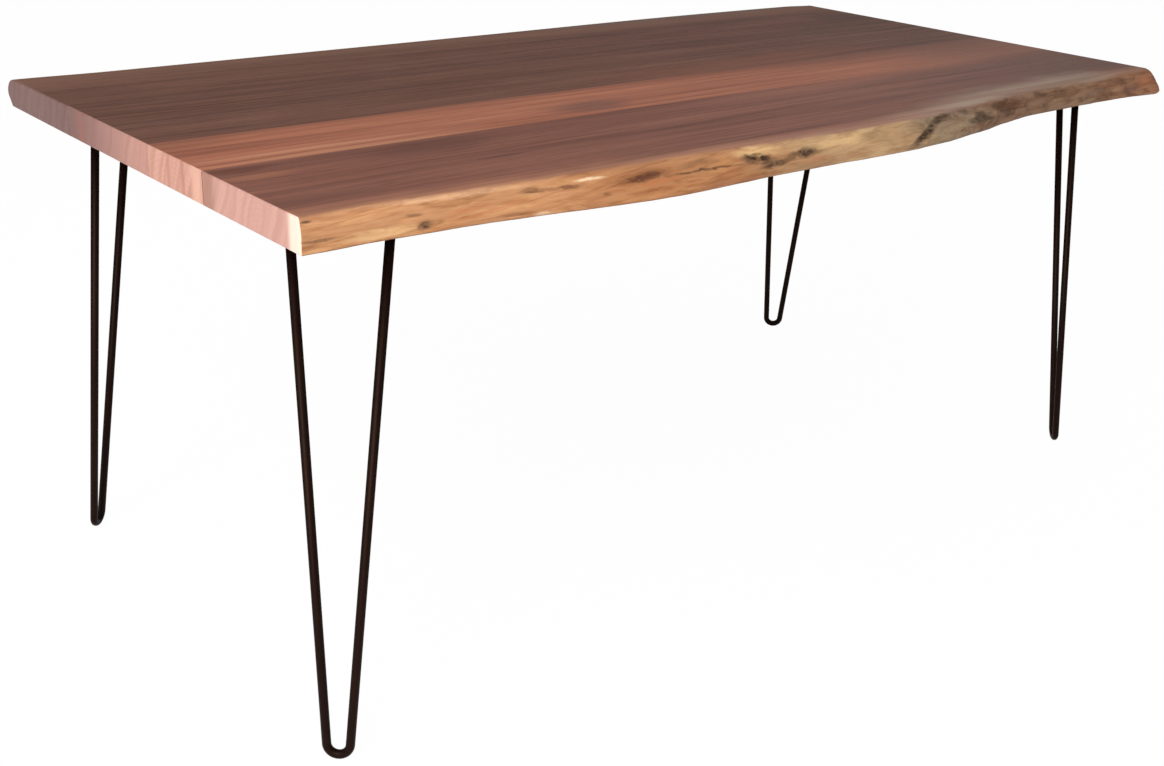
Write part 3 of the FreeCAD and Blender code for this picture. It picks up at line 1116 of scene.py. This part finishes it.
@dataclass
class HairpinLeg:
    """One leg: a bent rod, the plate that it is welded to, and the plate's screws.

    A bead's profile is in shares of its leg, out from the rod and up from the plate.
    """

    name: str
    finishes: LegFinishes
    lean: float = 0.095
    spread: float = 0.128
    bend_radius: float = 0.0165
    rod_radius: float = 0.00635
    bar_sides: int = 36
    bend_steps: int = 18
    merge_gap: float = 1e-6
    bead_profile: ClassVar[tuple[tuple[float, float], ...]] = (
        (-0.1, -1.05), (0.22, -1.0), (0.55, -0.78), (0.82, -0.46), (0.98, -0.16), (1.02, 0.0),
    )
    bead_ripples: int = 13
    ripple_sides: int = 8
    ripple_height: float = 0.035
    ripple_slant: float = 400.0
    screw_count: int = 4
    hole_inset: float = 0.019
    head_radius: float = 0.00525
    head_height: float = 0.0032
    head_sides: int = 24
    head_steps: int = 4
    crown_radius: float = 0.0031
    crown_slack: float = 1e-7
    recess_radius: float = 0.0025
    recess_depth: float = 0.0016
    recess_points: int = 8
    recess_waist: float = 0.42
    recess_taper: float = 0.7

    def __post_init__(self) -> None:
        """Reads the box of the leg's plate."""
        self.plate = f"{self.name}_mounting_plate"
        self.low, self.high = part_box(self.plate)
        self.middle = (self.low + self.high) / 2

    def build(self) -> None:
        """Builds the leg's rod, welds and screws, and dresses its plate."""
        dress(self.plate, self.finishes.plate)
        self.bend_rod()
        for rod_place in ("side", "end"):
            self.lay_bead(f"{self.name}_{rod_place}_weld_bead")
        self.drive_screws()

    def bend_rod(self) -> None:
        """Bends the rod: half of it is spun from the middle of the bend and drawn up, then mirrored."""
        drop = self.high.z - self.rod_radius
        length = math.hypot(drop, self.lean)
        centre = Vector((0, 0, self.bend_radius - length))
        top = Vector((0, self.spread / 2, 0))
        across = top - centre
        heel = math.atan2(across.z, across.y) - math.acos(self.bend_radius / across.length)
        maker = bmesh.new()
        ring = bmesh.ops.create_circle(
            maker, segments=self.bar_sides, radius=self.rod_radius,
            matrix=Matrix.Translation((0, 0, -length)) @ Matrix.Rotation(QUARTER_TURN, 4, "X"),
        )["verts"]
        bent = bmesh.ops.spin(
            maker, geom=ring + list(maker.edges), cent=centre, axis=(1, 0, 0), angle=heel + QUARTER_TURN,
            steps=self.bend_steps,
        )["geom_last"]
        drawn = bmesh.ops.extrude_edge_only(maker, edges=edges_of(bent))["geom"]
        tangent = centre + self.bend_radius * Vector((0, math.cos(heel), math.sin(heel)))
        bmesh.ops.translate(maker, vec=top - tangent, verts=verts_of(drawn))
        bmesh.ops.mirror(maker, geom=whole(maker), axis="Y", merge_dist=self.merge_gap)
        bmesh.ops.remove_doubles(maker, verts=maker.verts, dist=self.merge_gap)
        diagonal = math.atan2(math.copysign(1, self.middle.y), math.copysign(1, self.middle.x))
        place = Matrix.Translation((self.middle.x, self.middle.y, self.high.z))
        place @= Matrix.Rotation(diagonal, 4, "Z")
        place @= Matrix.Rotation(-math.atan2(self.lean, drop), 4, "Y")
        bmesh.ops.transform(maker, matrix=place, verts=maker.verts)
        bmesh.ops.bisect_plane(
            maker, geom=whole(maker), plane_co=(0, 0, self.low.z), plane_no=(0, 0, 1), clear_outer=True
        )
        bmesh.ops.holes_fill(maker, edges=rims(maker), sides=0)
        bmesh.ops.recalc_face_normals(maker, faces=maker.faces)
        for face in maker.faces:
            face.smooth = len(face.verts) == 4
        node = f"{self.name}_hairpin_rod"
        finish_piece(maker, f"{node}_bent", self.finishes.rod, "painted_rod", node)

    def lay_bead(self, node: str) -> None:
        """Lays a rippled weld bead round a rod, against the plate.

        Args:
            node: The plain bead of the frame that it stands in for.
        """
        low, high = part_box(node)
        middle = (low + high) / 2
        leg = high.z - low.z
        maker = bmesh.new()
        points = [(self.rod_radius + leg * out, leg * up) for out, up in self.bead_profile]
        turn_profile(maker, points, self.ripple_sides * self.bead_ripples)
        for vert in maker.verts:
            turn = math.atan2(vert.co.y, vert.co.x)
            out = math.hypot(vert.co.x, vert.co.y) - self.rod_radius
            wave = math.sin(self.bead_ripples * turn + self.ripple_slant * vert.co.z)
            ripple = 1 + self.ripple_height * smoothstep(out, 0.0, leg / 2) * wave
            vert.co.x *= ripple
            vert.co.y *= ripple
        bmesh.ops.translate(maker, vec=(middle.x, middle.y, high.z), verts=maker.verts)
        bmesh.ops.recalc_face_normals(maker, faces=maker.faces)
        for face in maker.faces:
            face.smooth = True
        finish_piece(maker, f"{node}_rippled", self.finishes.weld, "painted_weld", node)

    def drive_screws(self) -> None:
        """Adds the pan head screws that hold the plate."""
        circle = (self.high.x - self.low.x) / 2 - self.hole_inset
        maker = bmesh.new()
        for screw in range(self.screw_count):
            turn = Matrix.Rotation(FULL_TURN * screw / self.screw_count, 4, "Z")
            seat = turn @ Vector((circle, 0.0, 0.0)) + Vector((self.middle.x, self.middle.y, self.low.z))
            self.turn_head(maker, Matrix.Translation(seat) @ turn)
        finish_piece(maker, f"{self.name}_plate_screws", self.finishes.plate, "painted_plate")

    def turn_head(self, maker: BMesh, place: Matrix) -> None:
        """Turns one screw's head, and sinks a cross recess in its crown.

        Args:
            maker: The mesh in the making.
            place: Where the middle of the head's seat goes.
        """
        before = set(maker.verts)
        bulge = self.head_radius - self.crown_radius
        points = [(self.head_radius, 0.0)]
        for step in range(1, self.head_steps + 1):
            angle = QUARTER_TURN * step / self.head_steps
            points.append((self.crown_radius + bulge * math.cos(angle), -self.head_height * math.sin(angle)))
        turn_profile(maker, points, self.head_sides)
        star = bmesh.ops.create_circle(
            maker, segments=self.recess_points, radius=self.recess_radius,
            matrix=Matrix.Translation((0, 0, -self.head_height)),
        )["verts"]
        bmesh.ops.scale(maker, vec=(self.recess_waist, self.recess_waist, 1), verts=star[::2])
        fresh = [vert for vert in maker.verts if vert not in before]
        rim = {e for v in fresh for e in v.link_edges if e.is_boundary or e.is_wire}
        crown = [e for e in rim if all(abs(v.co.z + self.head_height) < self.crown_slack for v in e.verts)]
        bmesh.ops.bridge_loops(maker, edges=crown)
        star_edges = [e for e in crown if all(v in star for v in e.verts)]
        floor = verts_of(bmesh.ops.extrude_edge_only(maker, edges=star_edges)["geom"])
        bmesh.ops.translate(maker, vec=(0, 0, self.recess_depth), verts=floor)
        bmesh.ops.scale(maker, vec=(self.recess_taper, self.recess_taper, 1), verts=floor)
        bmesh.ops.contextual_create(maker, geom=floor)
        fresh = [vert for vert in maker.verts if vert not in before]
        bmesh.ops.recalc_face_normals(maker, faces=list({f for v in fresh for f in v.link_faces}))
        bmesh.ops.transform(maker, matrix=place, verts=fresh)


@dataclass
class Studio:
    """The pale floor, the soft light and the camera."""

    floor_size: float = 60.0
    floor_colour: Colour = srgb(250, 250, 250)
    floor_roughness: float = 0.9
    floor_glow: float = 0.97
    ambient: float = 0.62
    mirrored: float = 0.22
    aim: Point = (0.0, 0.0, 0.6)
    key_energy: float = 190.0
    key_size: float = 3.0
    key_place: Point = (-3.6, -2.2, 2.9)
    sheen_energy: float = 20.0
    sheen_size: float = 1.6
    sheen_place: Point = (2.9, 0.9, 3.4)
    sensor_width: float = 36.0
    image_width: int = 1164
    focal_pixels: float = 1408.1
    axis: tuple[float, float] = (599.43, 381.63)
    image_middle: tuple[float, float] = (582.0, 383.0)
    camera_place: Point = (-1.65696, -1.77977, 1.24192)
    heading: float = 41.6396
    tilt: float = 23.1154
    roll: float = -2.6655

    def build(self) -> None:
        """Sets the view, the light, the floor and the camera."""
        bpy.context.scene.view_settings.view_transform = "Standard"
        self.light_world()
        self.hang_light("key_light", self.key_place, self.key_size, self.key_energy)
        sheen = self.hang_light("sheen_light", self.sheen_place, self.sheen_size, self.sheen_energy)
        sheen.visible_diffuse = False
        self.lay_floor()
        self.set_camera()

    def light_world(self) -> None:
        """Lights the scene from all round, white where it is seen."""
        world = bpy.data.worlds.new("studio_world")
        bpy.context.scene.world = world
        world.use_nodes = True
        graph = Graph(world.node_tree)
        rays = graph.add("ShaderNodeLightPath").outputs
        change = self.mirrored - self.ambient
        strength = graph.math("MULTIPLY_ADD", rays["Is Glossy Ray"], change, self.ambient)
        strength = graph.math("MAXIMUM", strength, rays["Is Camera Ray"])
        background = world.node_tree.nodes["Background"]
        background.inputs["Color"].default_value = (1.0, 1.0, 1.0, 1.0)
        graph.feed(background.inputs["Strength"], strength)

    def hang_light(self, name: str, place: Point, size: float, energy: float) -> Object:
        """Hangs a round soft light that faces the table.

        Args:
            name: The light's name.
            place: Where it hangs.
            size: How wide it is.
            energy: Its power in watts.

        Returns:
            The light.
        """
        light = bpy.data.lights.new(name, "AREA")
        light.shape = "DISK"
        light.size = size
        light.energy = energy
        lamp = bpy.data.objects.new(name, light)
        turn = (Vector(self.aim) - Vector(place)).to_track_quat("-Z", "Y")
        lamp.matrix_world = Matrix.Translation(place) @ turn.to_matrix().to_4x4()
        bpy.context.scene.collection.objects.link(lamp)
        return lamp

    def lay_floor(self) -> None:
        """Lays the pale floor, which is nearly white where it is seen and keeps a soft shadow."""
        maker = bmesh.new()
        bmesh.ops.create_grid(maker, x_segments=1, y_segments=1, size=self.floor_size / 2)
        coat = Coat("studio_floor")
        graph = coat.graph
        coat.feed({
            "Base Color": self.floor_colour, "Roughness": self.floor_roughness, "Specular IOR Level": 0.0,
        })
        glow = graph.add("ShaderNodeEmission")
        seen = graph.product(graph.add("ShaderNodeLightPath").outputs["Is Camera Ray"], self.floor_glow)
        blend = graph.add("ShaderNodeMixShader", (seen, coat.shader.outputs[0], glow.outputs[0]))
        graph.feed(coat.material.node_tree.nodes["Material Output"].inputs["Surface"], blend.outputs[0])
        floor = make_object(maker, "floor", coat.material)

    def set_camera(self) -> None:
        """Sets the camera where the photograph was taken from."""
        camera = bpy.data.cameras.new("camera")
        camera.sensor_width = self.sensor_width
        camera.lens = camera.sensor_width * self.focal_pixels / self.image_width
        camera.shift_x = (self.image_middle[0] - self.axis[0]) / self.image_width
        camera.shift_y = (self.axis[1] - self.image_middle[1]) / self.image_width
        eye = bpy.data.objects.new("camera", camera)
        turn = Matrix.Rotation(math.radians(-self.heading), 4, "Z")
        turn @= Matrix.Rotation(math.radians(90 - self.tilt), 4, "X")
        turn @= Matrix.Rotation(math.radians(-self.roll), 4, "Z")
        eye.matrix_world = Matrix.Translation(self.camera_place) @ turn
        bpy.context.scene.collection.objects.link(eye)
        bpy.context.scene.camera = eye


# Where the sawn ends lie along the table.
LEFT_END, RIGHT_END = -0.9145, 0.9145

HEART = srgb(110, 69, 54)
HEART_DARK = srgb(74, 46, 37)
HEART_LIGHT = srgb(132, 90, 73)
TAN = srgb(183, 132, 93)
ORANGE_TAN = srgb(168, 115, 77)
PALE_TAN = srgb(174, 139, 103)
GREY_GREEN = srgb(151, 129, 102)
GREY_BROWN = srgb(136, 110, 90)
RED_BROWN = srgb(132, 101, 79)
RUST = srgb(148, 100, 71)
CREAM = srgb(222, 182, 130)
ORANGE = srgb(176, 104, 66)
BROWN = srgb(92, 60, 42)
RED_BARK = srgb(84, 48, 34)

FRONT_MARKS = (
    WaneMark(-0.81, 0.035, 0.05, 0.007, 0.6, 0.014, colour=CREAM),
    WaneMark(-0.749, 0.034, 0.012, 0.006, 0.95, 0.006, depth=0.004),
    WaneMark(-0.755, 0.036, 0.004, 0.003, 0.7, colour=srgb(168, 116, 96)),
    WaneMark(-0.766, 0.019, 0.013, 0.0022, 0.6, 0.006, depth=0.0005, colour=BROWN),
    WaneMark(-0.905, 0.0065, 0.008, 0.0018, 0.75, 0.003, depth=0.001),
    WaneMark(-0.887, 0.03, 0.026, 0.002, 0.65, 0.004, depth=0.001),
    WaneMark(-0.69, 0.023, 0.04, 0.003, 0.45, 0.01, tilt=0.1, colour=ORANGE),
    # A pale strip just under the crest: a painted highlight where the edge rolls over.
    WaneMark(-0.71, 0.004, 0.115, 0.0036, 0.4, 0.009, colour=srgb(226, 184, 148)),
    WaneMark(-0.665, 0.029, 0.06, 0.0022, 0.45, 0.01, depth=0.0005, tilt=0.16, colour=ORANGE),
    WaneMark(-0.625, 0.038, 0.022, 0.0022, 0.55, 0.006, depth=0.0005, colour=BROWN),
    WaneMark(-0.585, 0.041, 0.014, 0.0022, 0.55, 0.005, colour=srgb(232, 204, 172)),
    WaneMark(-0.49, 0.028, 0.007, 0.0024, 0.6, 0.005, depth=0.0008, colour=BROWN),
    WaneMark(-0.6, 0.011, 0.016, 0.0045, 0.85, 0.01, depth=0.001, colour=BROWN),
    WaneMark(-0.565, 0.013, 0.05, 0.0026, 0.7, 0.008, depth=0.0008, colour=BROWN),
    # A thin white streak near the crest: a painted highlight.
    WaneMark(-0.51, 0.0075, 0.024, 0.0018, 0.75, 0.004, colour=srgb(244, 220, 186)),
    WaneMark(-0.427, 0.0133, 0.045, 0.0055, 0.9, 0.014, depth=0.0025, tilt=0.05, colour=RED_BARK),
    WaneMark(-0.405, 0.02, 0.04, 0.0024, 0.7, 0.008, depth=0.001, tilt=0.06, colour=ORANGE),
    WaneMark(-0.32, 0.017, 0.08, 0.0018, 0.75, 0.008, depth=0.0012, tilt=-0.02),
    WaneMark(-0.33, 0.0085, 0.042, 0.0042, 0.5, 0.014, colour=srgb(118, 84, 54)),
    WaneMark(-0.215, 0.0075, 0.045, 0.006, 0.75, 0.012, colour=CREAM),
    WaneMark(-0.215, 0.0165, 0.032, 0.007, 1.0, 0.018, depth=0.003, tilt=-0.12),
    WaneMark(-0.18, 0.0265, 0.032, 0.0055, 0.9, 0.014, depth=0.002, tilt=0.08),
    WaneMark(-0.12, 0.018, 0.036, 0.0075, 0.95, 0.018, depth=0.003, tilt=0.05),
    WaneMark(-0.105, 0.03, 0.05, 0.005, 0.5, 0.014, colour=srgb(172, 116, 84)),
    WaneMark(-0.05, 0.012, 0.07, 0.006, 0.5, 0.016, colour=CREAM),
    WaneMark(0.03, 0.013, 0.034, 0.006, 0.45, 0.018, colour=srgb(110, 82, 56)),
    WaneMark(0.155, 0.024, 0.046, 0.008, 1.0, 0.012, depth=0.003, tilt=0.36),
    WaneMark(0.212, 0.0065, 0.036, 0.005, 0.85, 0.012, depth=0.002, tilt=0.1),
    WaneMark(0.33, 0.023, 0.044, 0.008, 0.8, 0.018, depth=0.002),
    WaneMark(0.44, 0.017, 0.05, 0.008, 0.65, 0.02, depth=0.002, colour=RED_BARK),
    WaneMark(0.61, 0.019, 0.07, 0.007, 0.55, 0.02, depth=0.002, colour=RED_BARK),
    WaneMark(0.73, 0.025, 0.05, 0.008, 0.5, 0.02, depth=0.001, colour=srgb(104, 76, 66)),
    WaneMark(0.8, 0.011, 0.034, 0.006, 0.55, 0.016, depth=0.001, colour=BROWN),
    WaneMark(0.835, 0.029, 0.032, 0.008, 0.6, 0.018, depth=0.002, colour=srgb(102, 72, 64)),
    WaneMark(0.88, 0.016, 0.026, 0.007, 0.35, 0.016, colour=ORANGE),
)

FRONT_FLARES = (
    EndFlare(End.LEFT, 0.1, (0.003, 0.001, 0.0, 0.0, 0.0, 0.0008, 0.002, 0.0032, 0.0045)),
    EndFlare(End.RIGHT, 0.12, (0.0, 0.0, 0.001, 0.003, 0.006, 0.01, 0.0135, 0.0145, 0.006)),
)
REAR_FLARES = (
    EndFlare(End.LEFT, 0.15, (0.008, 0.0045, 0.002, 0.0005, 0.0, 0.0, 0.0, 0.0, 0.0)),
    EndFlare(End.RIGHT, 0.07, (-0.01, -0.01)),
)

FRONT_FINISH = LiveEdgeFinish(
    "front_live_edge_timber", srgb(129, 80, 65), srgb(96, 58, 47), srgb(150, 98, 81), pith=(0.0, -0.33, 0.69),
    sawn=srgb(190, 146, 134), sawn_dark=srgb(170, 122, 110), pale_strips=((-1.0, -0.406),), marks=FRONT_MARKS,
    edge_colours=(
        (LEFT_END, TAN), (-0.6, TAN), (-0.42, ORANGE_TAN), (-0.26, ORANGE_TAN), (-0.1, PALE_TAN),
        (0.1, PALE_TAN), (0.19, GREY_GREEN), (0.3, GREY_BROWN), (0.42, RED_BROWN), (0.72, RED_BROWN),
        (RIGHT_END, RUST),
    ),
    overlays=(
        Streak(-0.552, -0.324, 0.055, 0.003, srgb(62, 40, 33), 0.8),
        Streak(-0.66, -0.208, 0.26, 0.014, srgb(88, 51, 40), 0.35),
        Streak(-0.6, -0.232, 0.13, 0.045, srgb(94, 57, 47), 0.55),
        Streak(-0.88, -0.211, 0.07, 0.02, srgb(94, 48, 34), 0.65),
        Streak(-0.87, -0.25, 0.07, 0.014, srgb(160, 104, 76), 0.5),
        Streak(LEFT_END, -0.208, 0.004, 0.024, srgb(146, 102, 86), 0.75, sawn=True),
        Drift((0.0, 0.35), (-0.255, -0.2), srgb(158, 97, 75), 0.55),
        Drift((0.15, 0.8), (-0.19, -0.25), srgb(94, 63, 54), 0.6),
        Drift((0.5, 0.85), (-0.29, -0.25), srgb(110, 74, 62), 0.7),
    ),
)
MIDDLE_FINISH = TimberFinish(
    "reddish_timber", srgb(164, 99, 73), srgb(126, 72, 55), srgb(188, 121, 91), pith=(0.0, -0.1, 0.66),
    sawn=srgb(196, 149, 134), sawn_dark=srgb(166, 116, 99), figure=0.28,
    overlays=(
        Streak(-0.68, -0.184, 0.28, 0.012, srgb(182, 126, 94), 0.65),
        Streak(-0.72, -0.159, 0.26, 0.008, srgb(190, 132, 102), 0.7),
        Streak(-0.89, -0.07, 0.12, 0.034, srgb(132, 82, 63), 0.45),
        Streak(LEFT_END, -0.178, 0.004, 0.016, srgb(205, 158, 138), 0.8, sawn=True),
        Streak(LEFT_END, -0.14, 0.004, 0.007, srgb(164, 112, 96), 0.6, sawn=True),
        Streak(LEFT_END, -0.098, 0.004, 0.006, srgb(168, 116, 100), 0.6, sawn=True),
        Drift((-1.2, -1.0), (-0.062, -0.038), srgb(120, 75, 59), 0.55),
        Streak(-0.25, -0.142, 0.1, 0.04, srgb(108, 74, 65), 0.6),
        Drift((0.35, 0.8), (-0.3, -0.25), srgb(116, 78, 65), 0.7),
        Drift((0.0, 0.45), (-0.125, -0.05), srgb(110, 70, 56), 0.5),
    ),
)
INNER_FINISH = TimberFinish(
    "dark_timber", HEART, HEART_DARK, HEART_LIGHT, pith=(0.0, 0.21, 0.62),
    sawn=srgb(186, 140, 128), sawn_dark=srgb(160, 114, 103),
    overlays=(
        Drift((-0.912, -0.914), (-0.06, 0.24), srgb(116, 86, 82), 0.95, sawn=True),
        Streak(LEFT_END, 0.186, 0.004, 0.014, srgb(142, 92, 80), 0.5, sawn=True),
        Streak(0.25, 0.0, 0.45, 0.06, srgb(138, 82, 62), 0.45),
    ),
)
REAR_FINISH = LiveEdgeFinish(
    "rear_live_edge_timber", HEART, HEART_DARK, HEART_LIGHT, pith=(0.0, 0.21, 0.62),
    sawn=srgb(120, 90, 85), sawn_dark=srgb(102, 74, 70), coarse_from=-0.4, coarse_to=1.2,
    # The sapwood strip, greyed along the right half into a painted sheen on the roll.
    sapwood=srgb(116, 78, 62), painted_sheen_on_sapwood=srgb(114, 88, 76),
    edge_colours=(
        (LEFT_END, ORANGE_TAN), (-0.4, TAN), (0.0, PALE_TAN), (0.45, ORANGE_TAN), (RIGHT_END, RED_BROWN),
    ),
    overlays=(
        Streak(-0.86, 0.285, 0.12, 0.05, srgb(92, 58, 46), 0.5),
        Streak(0.84, 0.285, 0.1, 0.06, srgb(80, 54, 46), 0.6),
        Drift((-1.2, -1.0), (0.34, 0.42), srgb(134, 94, 76), 0.6),
    ),
    marks=(
        WaneMark(0.52, 0.022, 0.016, 0.008, 0.85, 0.004, depth=0.003),
        WaneMark(-0.25, 0.016, 0.11, 0.004, 0.6, 0.014, depth=0.002),
    ),
)


def main() -> None:
    """Builds the table's looks and the studio, in order."""
    logging.basicConfig(level=logging.INFO, format="%(name)s: %(message)s")
    effects = Effects()
    TableTop(
        boards=(
            LiveEdgeBoard("front_live_edge_board", Side.FRONT, FRONT_FINISH, FRONT_FLARES),
            PlanedBoard("middle_board", MIDDLE_FINISH),
            PlanedBoard("rear_inner_board", INNER_FINISH),
            LiveEdgeBoard("rear_live_edge_board", Side.REAR, REAR_FINISH, REAR_FLARES),
        ),
        tongues=("front_joint_tongue", "middle_joint_tongue", "rear_joint_tongue"),
        plywood=PlywoodFinish("tongue_plywood"),
    ).build(effects)
    finishes = LegFinishes(
        rod=PaintFinish("rod_paint").material(effects),
        plate=PaintFinish("plate_paint").material(effects),
        weld=PaintFinish("weld_paint", lumps=1.5).material(effects),
    )
    for row in ("front", "rear"):
        for end in ("left", "right"):
            HairpinLeg(f"{row}_{end}", finishes).build()
    Studio().build()


if __name__ == "__main__":
    main()
